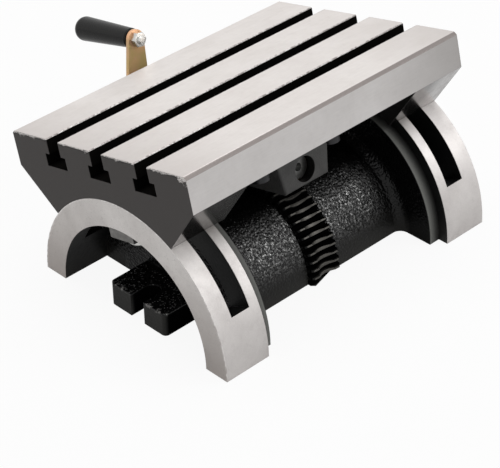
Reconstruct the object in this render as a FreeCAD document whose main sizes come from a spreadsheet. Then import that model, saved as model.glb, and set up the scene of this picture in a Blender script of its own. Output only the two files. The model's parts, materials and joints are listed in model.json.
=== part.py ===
import FreeCAD, Part
import math
import os
import Sketcher

# Tilting angle table for a milling machine. The origin is the middle of the base's underside, on the
# tilt axis. Y runs along that axis, Z is up, and the crank is on the -X side. The table is drawn as
# it stands in use: tilted about Y, with its +X side raised.
# Inside the pieces that tilt, x and z are measured square to the table's own top.

# Driving sizes, in millimetres, degrees and counts
DRIVING_SIZES = {
    # Table plate
    "table_length": 254,
    "table_width": 180,
    "plate_thickness": 26,
    "crown_wall": 9,
    "tilt_shown": 13.3,
    "top_chamfer": 2,
    "groove_chamfer": 0.6,
    "groove_pitch": 46,
    "groove_count": 3,
    "neck_width": 12.6,
    "neck_depth": 11.1,
    "tee_width": 21.6,
    "tee_height": 9.2,
    # Base casting, half round
    "arch_radius": 91,
    "rim_wall": 19.8,
    "rim_width": 38,
    "web_thickness": 9.4,
    "web_setback": 8,
    "trunk_radius": 54.4,
    "trunk_wall": 10,
    "web_fillet": 7,
    "slide_clearance": 0.25,
    "rim_slot_setback": 14,
    "rim_slot_width": 16,
    "rim_slot_end_angle": 26,
    "lug_width": 55,
    "lug_height": 18,
    "lug_setback": 4,
    "lug_corner": 3.5,
    "lug_slot_width": 13,
    "lug_slot_depth": 20,
    # Worm and the toothed band that it runs on
    "worm_height": 70,
    "wheel_teeth": 60,
    "gash_phase": 1.75,
    "worm_pitch_radius": 15,
    "pressure_angle": 14.5,
    "root_clearance": 0.3,
    "flank_clearance": 0.26,
    "band_width": 29,
    "band_over_pitch": 4.3,
    "band_chamfer": 2.6,
    "gash_overrun": 0.4,
    "thread_length": 34,
    "worm_length": 54,
    "worm_hub_radius": 12.6,
    "pin_radius": 2,
    "fit_clearance": 0.05,
    "running_clearance": 0.1,
    "shaft_radius": 9,
    "bush_wall": 2.4,
    "thrust_washer_radius": 14,
    "thrust_washer_thickness": 2.8,
    "shaft_recess": 7,
    "bush_recess": 8,
    "centre_hole_radius": 3,
    # Worm housing
    "housing_length": 110,
    "housing_foot_width": 41,
    "housing_head_width": 48,
    "housing_foot_drop": 11.5,
    "housing_draft_height": 19.5,
    "cavity_clearance": 0.9,
    "housing_edge_round": 1.8,
    "seat_drop": 8,
    "worm_headroom": 3,
    "seat_margin": 4,
    "ear_width": 15,
    "ear_reach": 42,
    "ear_thickness": 9,
    "ear_screw_edge": 8,
    "screw_radius": 4,
    "screw_hole_clearance": 0.3,
    "screw_head_radius": 6.5,
    "screw_head_height": 8,
    "screw_socket_flats": 6,
    "screw_socket_depth": 4,
    "screw_bite": 12,
    "dowel_radius": 3,
    "dowel_length": 13,
    "dowel_setback": 13,
    "dowel_edge": 7,
    # Crank and its grip
    "crank_overhang": 28,
    "arm_thickness": 3,
    "arm_length": 66.5,
    "arm_lean": 10.4,
    "arm_hub_radius": 12.5,
    "arm_eye_radius": 7,
    "square_flats": 9,
    "square_corner_radius": 6,
    "crank_thread_radius": 5,
    "crank_nut_flats": 17,
    "crank_nut_height": 8,
    "crank_washer_radius": 10,
    "crank_washer_thickness": 1.6,
    "thread_overrun": 2,
    "spindle_radius": 3,
    "spindle_collar_radius": 5.5,
    "spindle_collar_thickness": 2,
    "grip_nut_flats": 10,
    "grip_nut_height": 5,
    "grip_length": 60,
    "grip_inner_radius": 7.3,
    "grip_outer_radius": 9.5,
    "grip_dome": 6.5,
    "grip_end_wall": 9,
    # Clamp under each arch
    "clamp_width": 24,
    "clamp_height": 12.45,
    "clamp_web_gap": 2.5,
    "clamp_end_setback": 6,
    "clamp_bolt_radius": 5,
    "clamp_head_flats": 16,
    "clamp_head_height": 6.4,
    "clamp_bolt_bite": 12,
    "clamp_hole_clearance": 0.5,
    "blind_hole_allowance": 1,
    "edge_break": 0.8,
}

document = FreeCAD.newDocument("TiltingAngleTable")
size_sheet = document.addObject("Spreadsheet::Sheet", "Sizes")


class Size:
    """A size, both as a formula on the sheet of sizes and as its present number."""

    def __init__(self, formula, number):
        self.formula = formula
        self.number = number

    def __float__(self):
        return float(self.number)

    def __add__(self, other):
        other = as_size(other)
        return Size(f"({self.formula} + {other.formula})", self.number + other.number)

    def __sub__(self, other):
        other = as_size(other)
        return Size(f"({self.formula} - {other.formula})", self.number - other.number)

    def __mul__(self, other):
        other = as_size(other)
        return Size(f"({self.formula} * {other.formula})", self.number * other.number)

    def __truediv__(self, other):
        other = as_size(other)
        return Size(f"({self.formula} / {other.formula})", self.number / other.number)

    def __radd__(self, other):
        return as_size(other) + self

    def __rsub__(self, other):
        return as_size(other) - self

    def __rmul__(self, other):
        return as_size(other) * self

    def __rtruediv__(self, other):
        return as_size(other) / self

    def __neg__(self):
        return Size(f"(0 - {self.formula})", -self.number)


def as_size(value):
    """A plain number as a size, and a size as it is."""
    return value if isinstance(value, Size) else Size(str(value), value)


def tangent(angle):
    return Size(f"tan({angle.formula})", math.tan(math.radians(angle.number)))


def sine(angle):
    return Size(f"sin({angle.formula})", math.sin(math.radians(angle.number)))


def cosine(angle):
    return Size(f"cos({angle.formula})", math.cos(math.radians(angle.number)))


def square_root(value):
    return Size(f"sqrt({value.formula})", math.sqrt(value.number))


def whole_below(value):
    return Size(f"floor({value.formula})", math.floor(value.number))


def whole_above(value):
    return Size(f"ceil({value.formula})", math.ceil(value.number))


def larger(first, second):
    formula = f"({first.formula} > {second.formula} ? {first.formula} : {second.formula})"
    return Size(formula, max(first.number, second.number))


def write_sizes():
    """Put each driving size on the sheet, and return them by name."""
    sizes = {}
    for row, (name, number) in enumerate(DRIVING_SIZES.items(), start=1):
        size_sheet.set(f"A{row}", name)
        size_sheet.set(f"B{row}", str(number))
        size_sheet.setAlias(f"B{row}", name)
        sizes[name] = Size(f"Sizes.{name}", number)
    document.recompute()
    return sizes


size = write_sizes()

# Worm drive: the wheel's pitch circle runs where the worm's pitch line touches it
wheel_pitch_radius = size["worm_height"] - size["worm_pitch_radius"]
band_radius = wheel_pitch_radius + size["band_over_pitch"]
thread_pitch = wheel_pitch_radius * (2 * math.pi) / size["wheel_teeth"]
tooth_height = thread_pitch / math.pi
worm_outer_radius = size["worm_pitch_radius"] + tooth_height
worm_root_radius = size["worm_pitch_radius"] - tooth_height - size["root_clearance"]
throat_radius = worm_root_radius + size["root_clearance"]
flank_slope = tangent(size["pressure_angle"])
lead_slope = thread_pitch / (2 * math.pi) / size["worm_pitch_radius"]
cavity_radius = worm_outer_radius + size["cavity_clearance"]
bush_radius = size["shaft_radius"] + size["bush_wall"]
cheek_face = size["worm_length"] / 2 + size["thrust_washer_thickness"] + 2 * size["running_clearance"]
bush_end = size["housing_length"] / 2 - size["bush_recess"]
ear_screw_across = (size["housing_length"] - size["ear_width"]) / 2
ear_screw_along = size["ear_reach"] - size["ear_screw_edge"]
dowel_across = size["housing_length"] / 2 - size["dowel_setback"]
dowel_along = size["housing_head_width"] / 2 - size["dowel_edge"]

# Heights and radii that several pieces share. The plate lies over the arches by the crown's wall,
# and over the worm by the seat of its housing and some headroom, whichever lifts it more.
over_arches = size["arch_radius"] + size["crown_wall"]
over_worm = size["worm_height"] + worm_outer_radius + size["worm_headroom"] + size["seat_drop"]
underside = larger(over_arches, over_worm)
table_top = underside + size["plate_thickness"]
groove_floor = table_top - size["neck_depth"] - size["tee_height"]
saddle_radius = size["arch_radius"] + size["slide_clearance"]
rim_bore = size["arch_radius"] - size["rim_wall"]
web_radius = size["arch_radius"] - size["web_setback"]
half_length = size["table_length"] / 2
saddle_length = size["rim_width"] + size["web_thickness"]
web_outer_face = half_length - size["rim_width"]
web_inner_face = half_length - saddle_length
clamp_place = half_length - size["rim_slot_setback"] - size["rim_slot_width"] / 2
seat_face = underside - size["seat_drop"]
crank_reach = size["table_width"] / 2 + size["crank_overhang"]


def origin_feature(body, role):
    """A body's own origin plane or axis."""
    return next(feature for feature in body.Origin.OriginFeatures if feature.Role == role)


def new_body(label):
    """An empty body whose label names its piece."""
    body = document.addObject("PartDesign::Body", label)
    body.Label = label
    return body


def sketch_on(body, role, name, lift=None):
    """A sketch on one of the body's origin planes, moved along the plane's normal by lift."""
    sketch = body.newObject("Sketcher::SketchObject", name)
    sketch.AttachmentSupport = [(origin_feature(body, role), "")]
    sketch.MapMode = "FlatFace"
    if lift is not None:
        sketch.setExpression(".AttachmentOffset.Base.z", as_size(lift).formula)
    return sketch


def hold_point(sketch, geometry, point, place):
    """Hold a point of the sketch at its two distances from the sketch's origin."""
    for kind, distance in zip(("DistanceX", "DistanceY"), place):
        distance = as_size(distance)
        index = sketch.addConstraint(Sketcher.Constraint(kind, -1, 1, geometry, point, float(distance)))
        sketch.setExpression(f"Constraints[{index}]", distance.formula)


def draw_outline(sketch, corners):
    """A closed outline of straight runs between corners."""
    first = sketch.GeometryCount
    places = [FreeCAD.Vector(float(across), float(up), 0) for across, up in corners]
    for start, end in zip(places, places[1:] + places[:1]):
        sketch.addGeometry(Part.LineSegment(start, end), False)
    for index, corner in enumerate(corners):
        before = first + (index - 1) % len(corners)
        sketch.addConstraint(Sketcher.Constraint("Coincident", before, 2, first + index, 1))
        hold_point(sketch, first + index, 1, corner)


def draw_rectangle(sketch, left, right, bottom, top):
    draw_outline(sketch, [(left, bottom), (right, bottom), (right, top), (left, top)])


def draw_circle(sketch, centre, radius):
    radius = as_size(radius)
    place = FreeCAD.Vector(float(centre[0]), float(centre[1]), 0)
    index = sketch.addGeometry(Part.Circle(place, FreeCAD.Vector(0, 0, 1), float(radius)), False)
    hold_point(sketch, index, 3, centre)
    hold = sketch.addConstraint(Sketcher.Constraint("Radius", index, float(radius)))
    sketch.setExpression(f"Constraints[{hold}]", radius.formula)


def draw_hexagon(sketch, centre, flats):
    """A hexagon of the given width across flats, with two corners level with its centre."""
    corner_radius = flats / math.sqrt(3)
    corners = []
    for step in range(6):
        turn = math.radians(60 * step)
        across = centre[0] + corner_radius * math.cos(turn)
        up = centre[1] + corner_radius * math.sin(turn)
        corners.append((across, up))
    draw_outline(sketch, corners)


def extrude(kind, body, sketch, name, length, symmetric=False, reverse=False):
    """A pad or a pocket of the sketch, over a length."""
    feature = body.newObject(kind, name)
    feature.Profile = sketch
    feature.Type = "Length"
    feature.Midplane = symmetric
    feature.Reversed = reverse
    feature.setExpression("Length", as_size(length).formula)
    return feature


def pad(body, sketch, name, length, symmetric=False, reverse=False):
    return extrude("PartDesign::Pad", body, sketch, name, length, symmetric, reverse)


def pocket(body, sketch, name, length, symmetric=False, reverse=False):
    """A pocket that has to take some material away."""
    document.recompute()
    before = body.Shape.Volume
    feature = extrude("PartDesign::Pocket", body, sketch, name, length, symmetric, reverse)
    document.recompute()
    if not body.Shape.Volume < before:
        raise RuntimeError(f"{body.Label}: {name} cuts nothing")
    return feature


def revolve(kind, body, sketch, name, axis, angle=360, symmetric=False, reverse=False):
    """A revolution or a groove of the sketch about one of its own axes."""
    feature = body.newObject(kind, name)
    feature.Profile = sketch
    feature.ReferenceAxis = (sketch, [axis])
    feature.Midplane = symmetric
    feature.Reversed = reverse
    feature.setExpression("Angle", as_size(angle).formula)
    return feature


def turned(label, profile):
    """A body turned about its own X axis from a profile of (x, radius) corners."""
    body = new_body(label)
    sketch = sketch_on(body, "XZ_Plane", f"{label}_profile")
    draw_outline(sketch, profile)
    revolve("PartDesign::Revolution", body, sketch, f"{label}_turning", "H_Axis")
    return body


def mirror(body, originals, role, name):
    """Mirror features of a body in one of its origin planes."""
    feature = body.newObject("PartDesign::Mirrored", name)
    feature.Originals = originals
    feature.MirrorPlane = (origin_feature(body, role), [""])
    body.Tip = feature
    return feature


def pattern_round(body, originals, name, angle, count, reverse):
    """Repeat features round the body's Y axis, over an angle."""
    feature = body.newObject("PartDesign::PolarPattern", name)
    feature.Originals = originals
    feature.Axis = (origin_feature(body, "Y_Axis"), [""])
    feature.Reversed = reverse
    feature.setExpression("Angle", angle.formula)
    feature.setExpression("Occurrences", count.formula)
    body.Tip = feature
    return feature


def pattern_along(body, originals, name, role, length, count):
    """Repeat features along one of the body's origin axes, over a length."""
    feature = body.newObject("PartDesign::LinearPattern", name)
    feature.Originals = originals
    feature.Direction = (origin_feature(body, role), [""])
    feature.setExpression("Length", as_size(length).formula)
    feature.setExpression("Occurrences", as_size(count).formula)
    body.Tip = feature
    return feature


def edges_where(feature, wanted):
    """The names of a feature's edges that pass a test."""
    document.recompute()
    return [f"Edge{number}" for number, edge in enumerate(feature.Shape.Edges, start=1) if wanted(edge)]


def dress(kind, body, base, name, edges, amount):
    """A fillet or a chamfer on the named edges of a feature."""
    if not edges:
        raise RuntimeError(f"{body.Label}: {name} finds no edges")
    feature = body.newObject(kind, name)
    feature.Base = (base, edges)
    feature.setExpression("Radius" if kind.endswith("Fillet") else "Size", as_size(amount).formula)
    return feature


def near(number, target):
    return abs(number - float(target)) < 0.01


def is_line_along(edge, axis):
    """Whether a straight edge runs along an axis, given by its letter."""
    if not isinstance(edge.Curve, Part.Line):
        return False
    direction = edge.Curve.Direction
    return abs(getattr(direction, axis)) > 0.999


def tilted(body, placement=FreeCAD.Placement()):
    """Place a piece that tilts: placement is its place in the table's own frame."""
    tilt = FreeCAD.Rotation(FreeCAD.Vector(0, 1, 0), -float(size["tilt_shown"]))
    body.Placement = FreeCAD.Placement(FreeCAD.Vector(), tilt).multiply(placement)


def on_worm_axis(turn):
    """The place of a piece that turns with the worm, turned about the worm's axis by an angle."""
    rotation = FreeCAD.Rotation(FreeCAD.Vector(1, 0, 0), turn)
    return FreeCAD.Placement(FreeCAD.Vector(0, 0, float(size["worm_height"])), rotation)


# Base casting: a half-round body turned about the tilt axis
def base_profile():
    """Radius and length corners of the casting's half section, from the near end to the far end."""
    band_half = size["band_width"] / 2
    band_shoulder = band_radius - size["band_chamfer"]
    band_crest_half = band_half - size["band_chamfer"]
    hollow = size["trunk_radius"] - size["trunk_wall"]
    outside = [
        (rim_bore, half_length),
        (size["arch_radius"], half_length),
        (size["arch_radius"], web_outer_face),
        (web_radius, web_outer_face),
        (web_radius, web_inner_face),
        (size["trunk_radius"], web_inner_face),
        (size["trunk_radius"], band_half),
        (band_shoulder, band_half),
        (band_radius, band_crest_half),
    ]
    inside = [
        (hollow, web_inner_face),
        (as_size(0), web_inner_face),
        (as_size(0), web_outer_face),
        (rim_bore, web_outer_face),
    ]
    near_outside = [(radius, -along) for radius, along in outside]
    near_inside = [(radius, -along) for radius, along in inside]
    return near_outside + outside[::-1] + inside[::-1] + near_inside


def make_base():
    body = new_body("base_casting")
    sketch = sketch_on(body, "XY_Plane", "half_section")
    draw_outline(sketch, base_profile())
    casting = revolve("PartDesign::Revolution", body, sketch, "half_turning", "V_Axis", 180, reverse=True)

    # Cast fillets where the half-round trunk meets the two webs
    def is_web_root(edge):
        circle = isinstance(edge.Curve, Part.Circle)
        return circle and near(edge.Curve.Radius, size["trunk_radius"]) and near(
            abs(edge.CenterOfMass.y), web_inner_face)

    roots = edges_where(casting, is_web_root)
    dress("PartDesign::Fillet", body, casting, "web_roots", roots, size["web_fillet"])

    # Hold-down lug in the near arch, joined to the web
    lug_front = -half_length + size["lug_setback"]
    lug_half = size["lug_width"] / 2
    lug_back = -web_outer_face + size["web_thickness"] / 2
    lug_sketch = sketch_on(body, "XY_Plane", "lug_outline")
    draw_rectangle(lug_sketch, -lug_half, lug_half, lug_front, lug_back)
    lug = pad(body, lug_sketch, "lug", size["lug_height"])

    def is_lug_corner(edge):
        return is_line_along(edge, "z") and near(edge.CenterOfMass.y, lug_front)

    corners = edges_where(lug, is_lug_corner)
    dress("PartDesign::Fillet", body, lug, "lug_corners", corners, size["lug_corner"])

    # Open-ended slot for the hold-down bolt, with a round end
    slot_half = size["lug_slot_width"] / 2
    slot_end = lug_front + size["lug_slot_depth"] - slot_half
    slot_sketch = sketch_on(body, "XY_Plane", "lug_slot_outline")
    draw_rectangle(slot_sketch, -slot_half, slot_half, lug_front - size["lug_setback"], slot_end)
    lug_slot = pocket(body, slot_sketch, "lug_slot", size["lug_height"] * 2, symmetric=True)
    end_sketch = sketch_on(body, "XY_Plane", "lug_slot_end_outline")
    draw_circle(end_sketch, (as_size(0), slot_end), slot_half)
    lug_slot_end = pocket(body, end_sketch, "lug_slot_end", size["lug_height"] * 2, symmetric=True)

    # Curved slot through the near rim, for the clamp bolt to swing along
    rim_sketch = sketch_on(body, "YZ_Plane", "rim_slot_section")
    rim_slot_half = size["rim_slot_width"] / 2
    over = size["arch_radius"] + size["rim_wall"] / 2
    under = rim_bore - size["rim_wall"] / 2
    draw_rectangle(rim_sketch, -clamp_place - rim_slot_half, -clamp_place + rim_slot_half, under, over)
    rim_slot = revolve("PartDesign::Groove", body, rim_sketch, "rim_slot", "H_Axis",
                       180 - 2 * size["rim_slot_end_angle"], symmetric=True)
    mirror(body, [lug, lug_slot, lug_slot_end, rim_slot], "XZ_Plane", "far_arch")

    # Throat: the crest of the toothed band is hollowed to the worm's root
    throat_sketch = sketch_on(body, "YZ_Plane", "throat_section")
    draw_circle(throat_sketch, (as_size(0), size["worm_height"]), throat_radius)
    throat = revolve("PartDesign::Groove", body, throat_sketch, "throat", "H_Axis", 180, symmetric=True)
    body.Tip = throat
    cut_tooth_gaps(body)
    return body


def cut_tooth_gaps(body):
    """Straight gashes round the band, set over by the thread's lead, from the crown down both sides."""
    sketch = body.newObject("Sketcher::SketchObject", "gash_section")
    sketch.AttachmentSupport = [(origin_feature(body, "XZ_Plane"), "")]
    sketch.MapMode = "FlatFace"
    turn = FreeCAD.Rotation(FreeCAD.Vector(0, -1, 0), math.degrees(math.atan(lead_slope.number)))
    sketch.AttachmentOffset = FreeCAD.Placement(FreeCAD.Vector(), turn)
    sketch.setExpression(".AttachmentOffset.Rotation.Angle", f"atan({lead_slope.formula})")

    # Across the crown the section is a worm thread's, so it narrows towards its floor
    floor = wheel_pitch_radius - tooth_height - size["root_clearance"]
    floor_half = thread_pitch / 4 - (wheel_pitch_radius - floor) * flank_slope
    mouth = band_radius + tooth_height / 2
    mouth_half = thread_pitch / 4 + (mouth - wheel_pitch_radius) * flank_slope
    corners = [(-floor_half, floor), (floor_half, floor), (mouth_half, mouth), (-mouth_half, mouth)]
    phase_sine = sine(size["gash_phase"])
    phase_cosine = cosine(size["gash_phase"])
    draw_outline(sketch, [
        (across * phase_cosine - up * phase_sine, across * phase_sine + up * phase_cosine)
        for across, up in corners
    ])
    gash = pocket(body, sketch, "gash", size["band_width"] + 2 * size["gash_overrun"], symmetric=True)
    body.Tip = gash

    steps = whole_below(size["wheel_teeth"] / 4)
    sweep = steps * 360 / size["wheel_teeth"]
    pattern_round(body, [gash], "gashes_one_side", sweep, steps + 1, False)
    pattern_round(body, [gash], "gashes_other_side", sweep, steps + 1, True)


# Table casting: the grooved plate, its two saddles and the seat for the worm housing
def make_table():
    body = new_body("table_casting")
    half_width = size["table_width"] / 2
    plate_sketch = sketch_on(body, "XZ_Plane", "plate_section")
    draw_rectangle(plate_sketch, -half_width, half_width, underside, table_top)
    pad(body, plate_sketch, "plate", size["table_length"], symmetric=True)

    # Near saddle: sides slope in at 45 degrees until they meet the arch
    saddle_foot = size["arch_radius"] * 0.6
    foot_half = half_width - underside + saddle_foot
    saddle_sketch = sketch_on(body, "XZ_Plane", "saddle_section", web_inner_face)
    draw_outline(saddle_sketch, [(-half_width, underside), (-foot_half, saddle_foot),
                                 (foot_half, saddle_foot), (half_width, underside)])
    saddle = pad(body, saddle_sketch, "saddle", saddle_length)
    mirror(body, [saddle], "XZ_Plane", "far_saddle")

    # Seat that the worm housing is bolted to
    seat_half_across = size["housing_length"] / 2 + size["seat_margin"]
    seat_half_along = size["ear_reach"] + size["seat_margin"]
    seat_sketch = sketch_on(body, "XY_Plane", "seat_outline", seat_face)
    draw_rectangle(seat_sketch, -seat_half_across, seat_half_across, -seat_half_along, seat_half_along)
    pad(body, seat_sketch, "seat", size["seat_drop"] + size["crown_wall"] / 2)

    # Round bore of the saddles, which rides on the base's arches
    bore_sketch = sketch_on(body, "XZ_Plane", "arch_bore_section")
    draw_circle(bore_sketch, (as_size(0), as_size(0)), saddle_radius)
    pocket(body, bore_sketch, "arch_bore", size["table_length"] * 1.1, symmetric=True)

    # Grooves for T-bolts, along the table
    span = size["groove_pitch"] * (size["groove_count"] - 1)
    first = -span / 2
    neck_half = size["neck_width"] / 2
    tee_half = size["tee_width"] / 2
    neck_floor = table_top - size["neck_depth"]
    mouth = table_top + size["top_chamfer"]
    groove_sketch = sketch_on(body, "XZ_Plane", "groove_section")
    draw_outline(groove_sketch, [
        (first - neck_half, mouth),
        (first - neck_half, neck_floor),
        (first - tee_half, neck_floor),
        (first - tee_half, groove_floor),
        (first + tee_half, groove_floor),
        (first + tee_half, neck_floor),
        (first + neck_half, neck_floor),
        (first + neck_half, mouth),
    ])
    groove = pocket(body, groove_sketch, "groove", size["table_length"] * 1.1, symmetric=True)
    grooves = pattern_along(body, [groove], "grooves", "X_Axis", span, size["groove_count"])

    # Broken edges along the top and along the grooves' mouths
    def is_top_side(edge):
        return is_line_along(edge, "y") and near(edge.CenterOfMass.z, table_top) and near(
            abs(edge.CenterOfMass.x), half_width)

    def is_groove_mouth(edge):
        return is_line_along(edge, "y") and near(edge.CenterOfMass.z, table_top) and not near(
            abs(edge.CenterOfMass.x), half_width)

    sides = dress("PartDesign::Chamfer", body, grooves, "top_edges",
                  edges_where(grooves, is_top_side), size["top_chamfer"])
    mouths = dress("PartDesign::Chamfer", body, sides, "groove_edges",
                   edges_where(sides, is_groove_mouth), size["groove_chamfer"])
    body.Tip = mouths

    # Tapped holes: one in each saddle for a clamp bolt, four in the seat, and two for dowels
    tap_sketch = sketch_on(body, "XY_Plane", "clamp_tap_centres", saddle_foot)
    tap_radius = size["clamp_bolt_radius"] + size["fit_clearance"]
    for side in (-1, 1):
        draw_circle(tap_sketch, (as_size(0), clamp_place * side), tap_radius)
    tap_top = size["arch_radius"] + size["clamp_bolt_bite"] + size["blind_hole_allowance"]
    pocket(body, tap_sketch, "clamp_taps", tap_top - saddle_foot, reverse=True)

    screw_sketch = sketch_on(body, "XY_Plane", "screw_tap_centres", seat_face)
    dowel_sketch = sketch_on(body, "XY_Plane", "dowel_hole_centres", seat_face)
    for across, along in ear_screw_places():
        draw_circle(screw_sketch, (across, along), size["screw_radius"] + size["fit_clearance"])
    for across, along in dowel_places():
        draw_circle(dowel_sketch, (across, along), size["dowel_radius"] + size["fit_clearance"])
    pocket(body, screw_sketch, "screw_taps", size["screw_bite"] + size["blind_hole_allowance"], reverse=True)
    pocket(body, dowel_sketch, "dowel_holes", size["dowel_length"] / 2 + size["blind_hole_allowance"],
           reverse=True)
    tilted(body)
    return body


def ear_screw_places():
    """Centres of the four screws that hold the worm housing."""
    return [(ear_screw_across * side, ear_screw_along * end) for side in (-1, 1) for end in (-1, 1)]


def dowel_places():
    """Centres of the two dowels, at opposite corners of the housing."""
    return [(dowel_across * side, dowel_along * side) for side in (-1, 1)]


# Worm housing: two bearing cheeks, open below so that the worm reaches the toothed band
def make_housing():
    body = new_body("worm_housing")
    foot = size["worm_height"] - size["housing_foot_drop"]
    draft_top = foot + size["housing_draft_height"]
    foot_half = size["housing_foot_width"] / 2
    head_half = size["housing_head_width"] / 2
    section = sketch_on(body, "YZ_Plane", "block_section")
    draw_outline(section, [(-foot_half, foot), (foot_half, foot), (head_half, draft_top),
                           (head_half, seat_face), (-head_half, seat_face), (-head_half, draft_top)])
    pad(body, section, "block", size["housing_length"], symmetric=True)

    # Ears at the four corners
    ear_outer = size["housing_length"] / 2
    ear_inner = ear_outer - size["ear_width"]
    ear_sketch = sketch_on(body, "XY_Plane", "ear_outlines", seat_face - size["ear_thickness"])
    draw_rectangle(ear_sketch, ear_inner, ear_outer, -size["ear_reach"], size["ear_reach"])
    draw_rectangle(ear_sketch, -ear_outer, -ear_inner, -size["ear_reach"], size["ear_reach"])
    ears = pad(body, ear_sketch, "ears", size["ear_thickness"])

    def is_end_edge(edge):
        centre = edge.CenterOfMass
        at_end = near(abs(centre.x), ear_outer)
        below_seat = centre.z < float(seat_face) - 0.01
        inside_ears = abs(centre.y) < float(head_half) + 0.01
        return at_end and below_seat and inside_ears and not near(centre.z, seat_face - size["ear_thickness"])

    rounded = dress("PartDesign::Fillet", body, ears, "end_edges", edges_where(ears, is_end_edge),
                    size["housing_edge_round"])
    body.Tip = rounded

    # Tunnel for the worm, open at the foot
    tunnel_sketch = sketch_on(body, "YZ_Plane", "tunnel_section")
    draw_rectangle(tunnel_sketch, -cavity_radius, cavity_radius, foot - size["cavity_clearance"],
                   size["worm_height"])
    pocket(body, tunnel_sketch, "tunnel", cheek_face * 2, symmetric=True)
    vault_sketch = sketch_on(body, "YZ_Plane", "tunnel_vault_section")
    draw_circle(vault_sketch, (as_size(0), size["worm_height"]), cavity_radius)
    pocket(body, vault_sketch, "tunnel_vault", cheek_face * 2, symmetric=True)

    # Seats for the two bushes, and the way through for the shaft
    bush_sketch = sketch_on(body, "YZ_Plane", "bush_seat_section")
    draw_circle(bush_sketch, (as_size(0), size["worm_height"]), bush_radius)
    pocket(body, bush_sketch, "bush_seats", bush_end * 2, symmetric=True)
    way_sketch = sketch_on(body, "YZ_Plane", "shaft_way_section")
    draw_circle(way_sketch, (as_size(0), size["worm_height"]),
                size["shaft_radius"] + 2 * size["running_clearance"])
    pocket(body, way_sketch, "shaft_way", size["housing_length"] * 1.1, symmetric=True)

    # Holes for the screws and the dowels
    hole_sketch = sketch_on(body, "XY_Plane", "screw_hole_centres", seat_face)
    for across, along in ear_screw_places():
        draw_circle(hole_sketch, (across, along), size["screw_radius"] + size["screw_hole_clearance"])
    pocket(body, hole_sketch, "screw_holes", size["ear_thickness"] * 1.5)
    dowel_sketch = sketch_on(body, "XY_Plane", "dowel_hole_centres", seat_face)
    for across, along in dowel_places():
        draw_circle(dowel_sketch, (across, along), size["dowel_radius"] + size["fit_clearance"])
    pocket(body, dowel_sketch, "dowel_holes", size["dowel_length"] / 2 + size["blind_hole_allowance"])
    tilted(body)
    return body


def make_housing_screws():
    """Four socket-head screws, heads down, made as one and repeated at the ears."""
    body = new_body("housing_screws")
    seat = seat_face - size["ear_thickness"]
    across = -ear_screw_across
    along = -ear_screw_along
    head_sketch = sketch_on(body, "XY_Plane", "head_outline", seat)
    draw_circle(head_sketch, (across, along), size["screw_head_radius"])
    head = pad(body, head_sketch, "head", size["screw_head_height"], reverse=True)
    shank_sketch = sketch_on(body, "XY_Plane", "shank_outline", seat)
    draw_circle(shank_sketch, (across, along), size["screw_radius"])
    shank = pad(body, shank_sketch, "shank", size["ear_thickness"] + size["screw_bite"])
    socket_sketch = sketch_on(body, "XY_Plane", "socket_outline", seat - size["screw_head_height"])
    draw_hexagon(socket_sketch, (across, along), size["screw_socket_flats"])
    socket = pocket(body, socket_sketch, "socket", size["screw_socket_depth"], reverse=True)

    pair = body.newObject("PartDesign::MultiTransform", "screw_places")
    pair.Originals = [head, shank, socket]
    along_x = body.newObject("PartDesign::LinearPattern", "screws_across")
    along_x.Direction = (origin_feature(body, "X_Axis"), [""])
    along_x.setExpression("Length", (2 * ear_screw_across).formula)
    along_x.Occurrences = 2
    along_y = body.newObject("PartDesign::LinearPattern", "screws_along")
    along_y.Direction = (origin_feature(body, "Y_Axis"), [""])
    along_y.setExpression("Length", (2 * ear_screw_along).formula)
    along_y.Occurrences = 2
    pair.Transformations = [along_x, along_y]
    body.Tip = pair
    tilted(body)
    return body


def make_dowels():
    """Two plain dowels that locate the housing on its seat."""
    body = new_body("housing_dowels")
    sketch = sketch_on(body, "XY_Plane", "dowel_outlines", seat_face)
    for across, along in dowel_places():
        draw_circle(sketch, (across, along), size["dowel_radius"])
    pad(body, sketch, "dowels", size["dowel_length"], symmetric=True)
    tilted(body)
    return body


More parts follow.
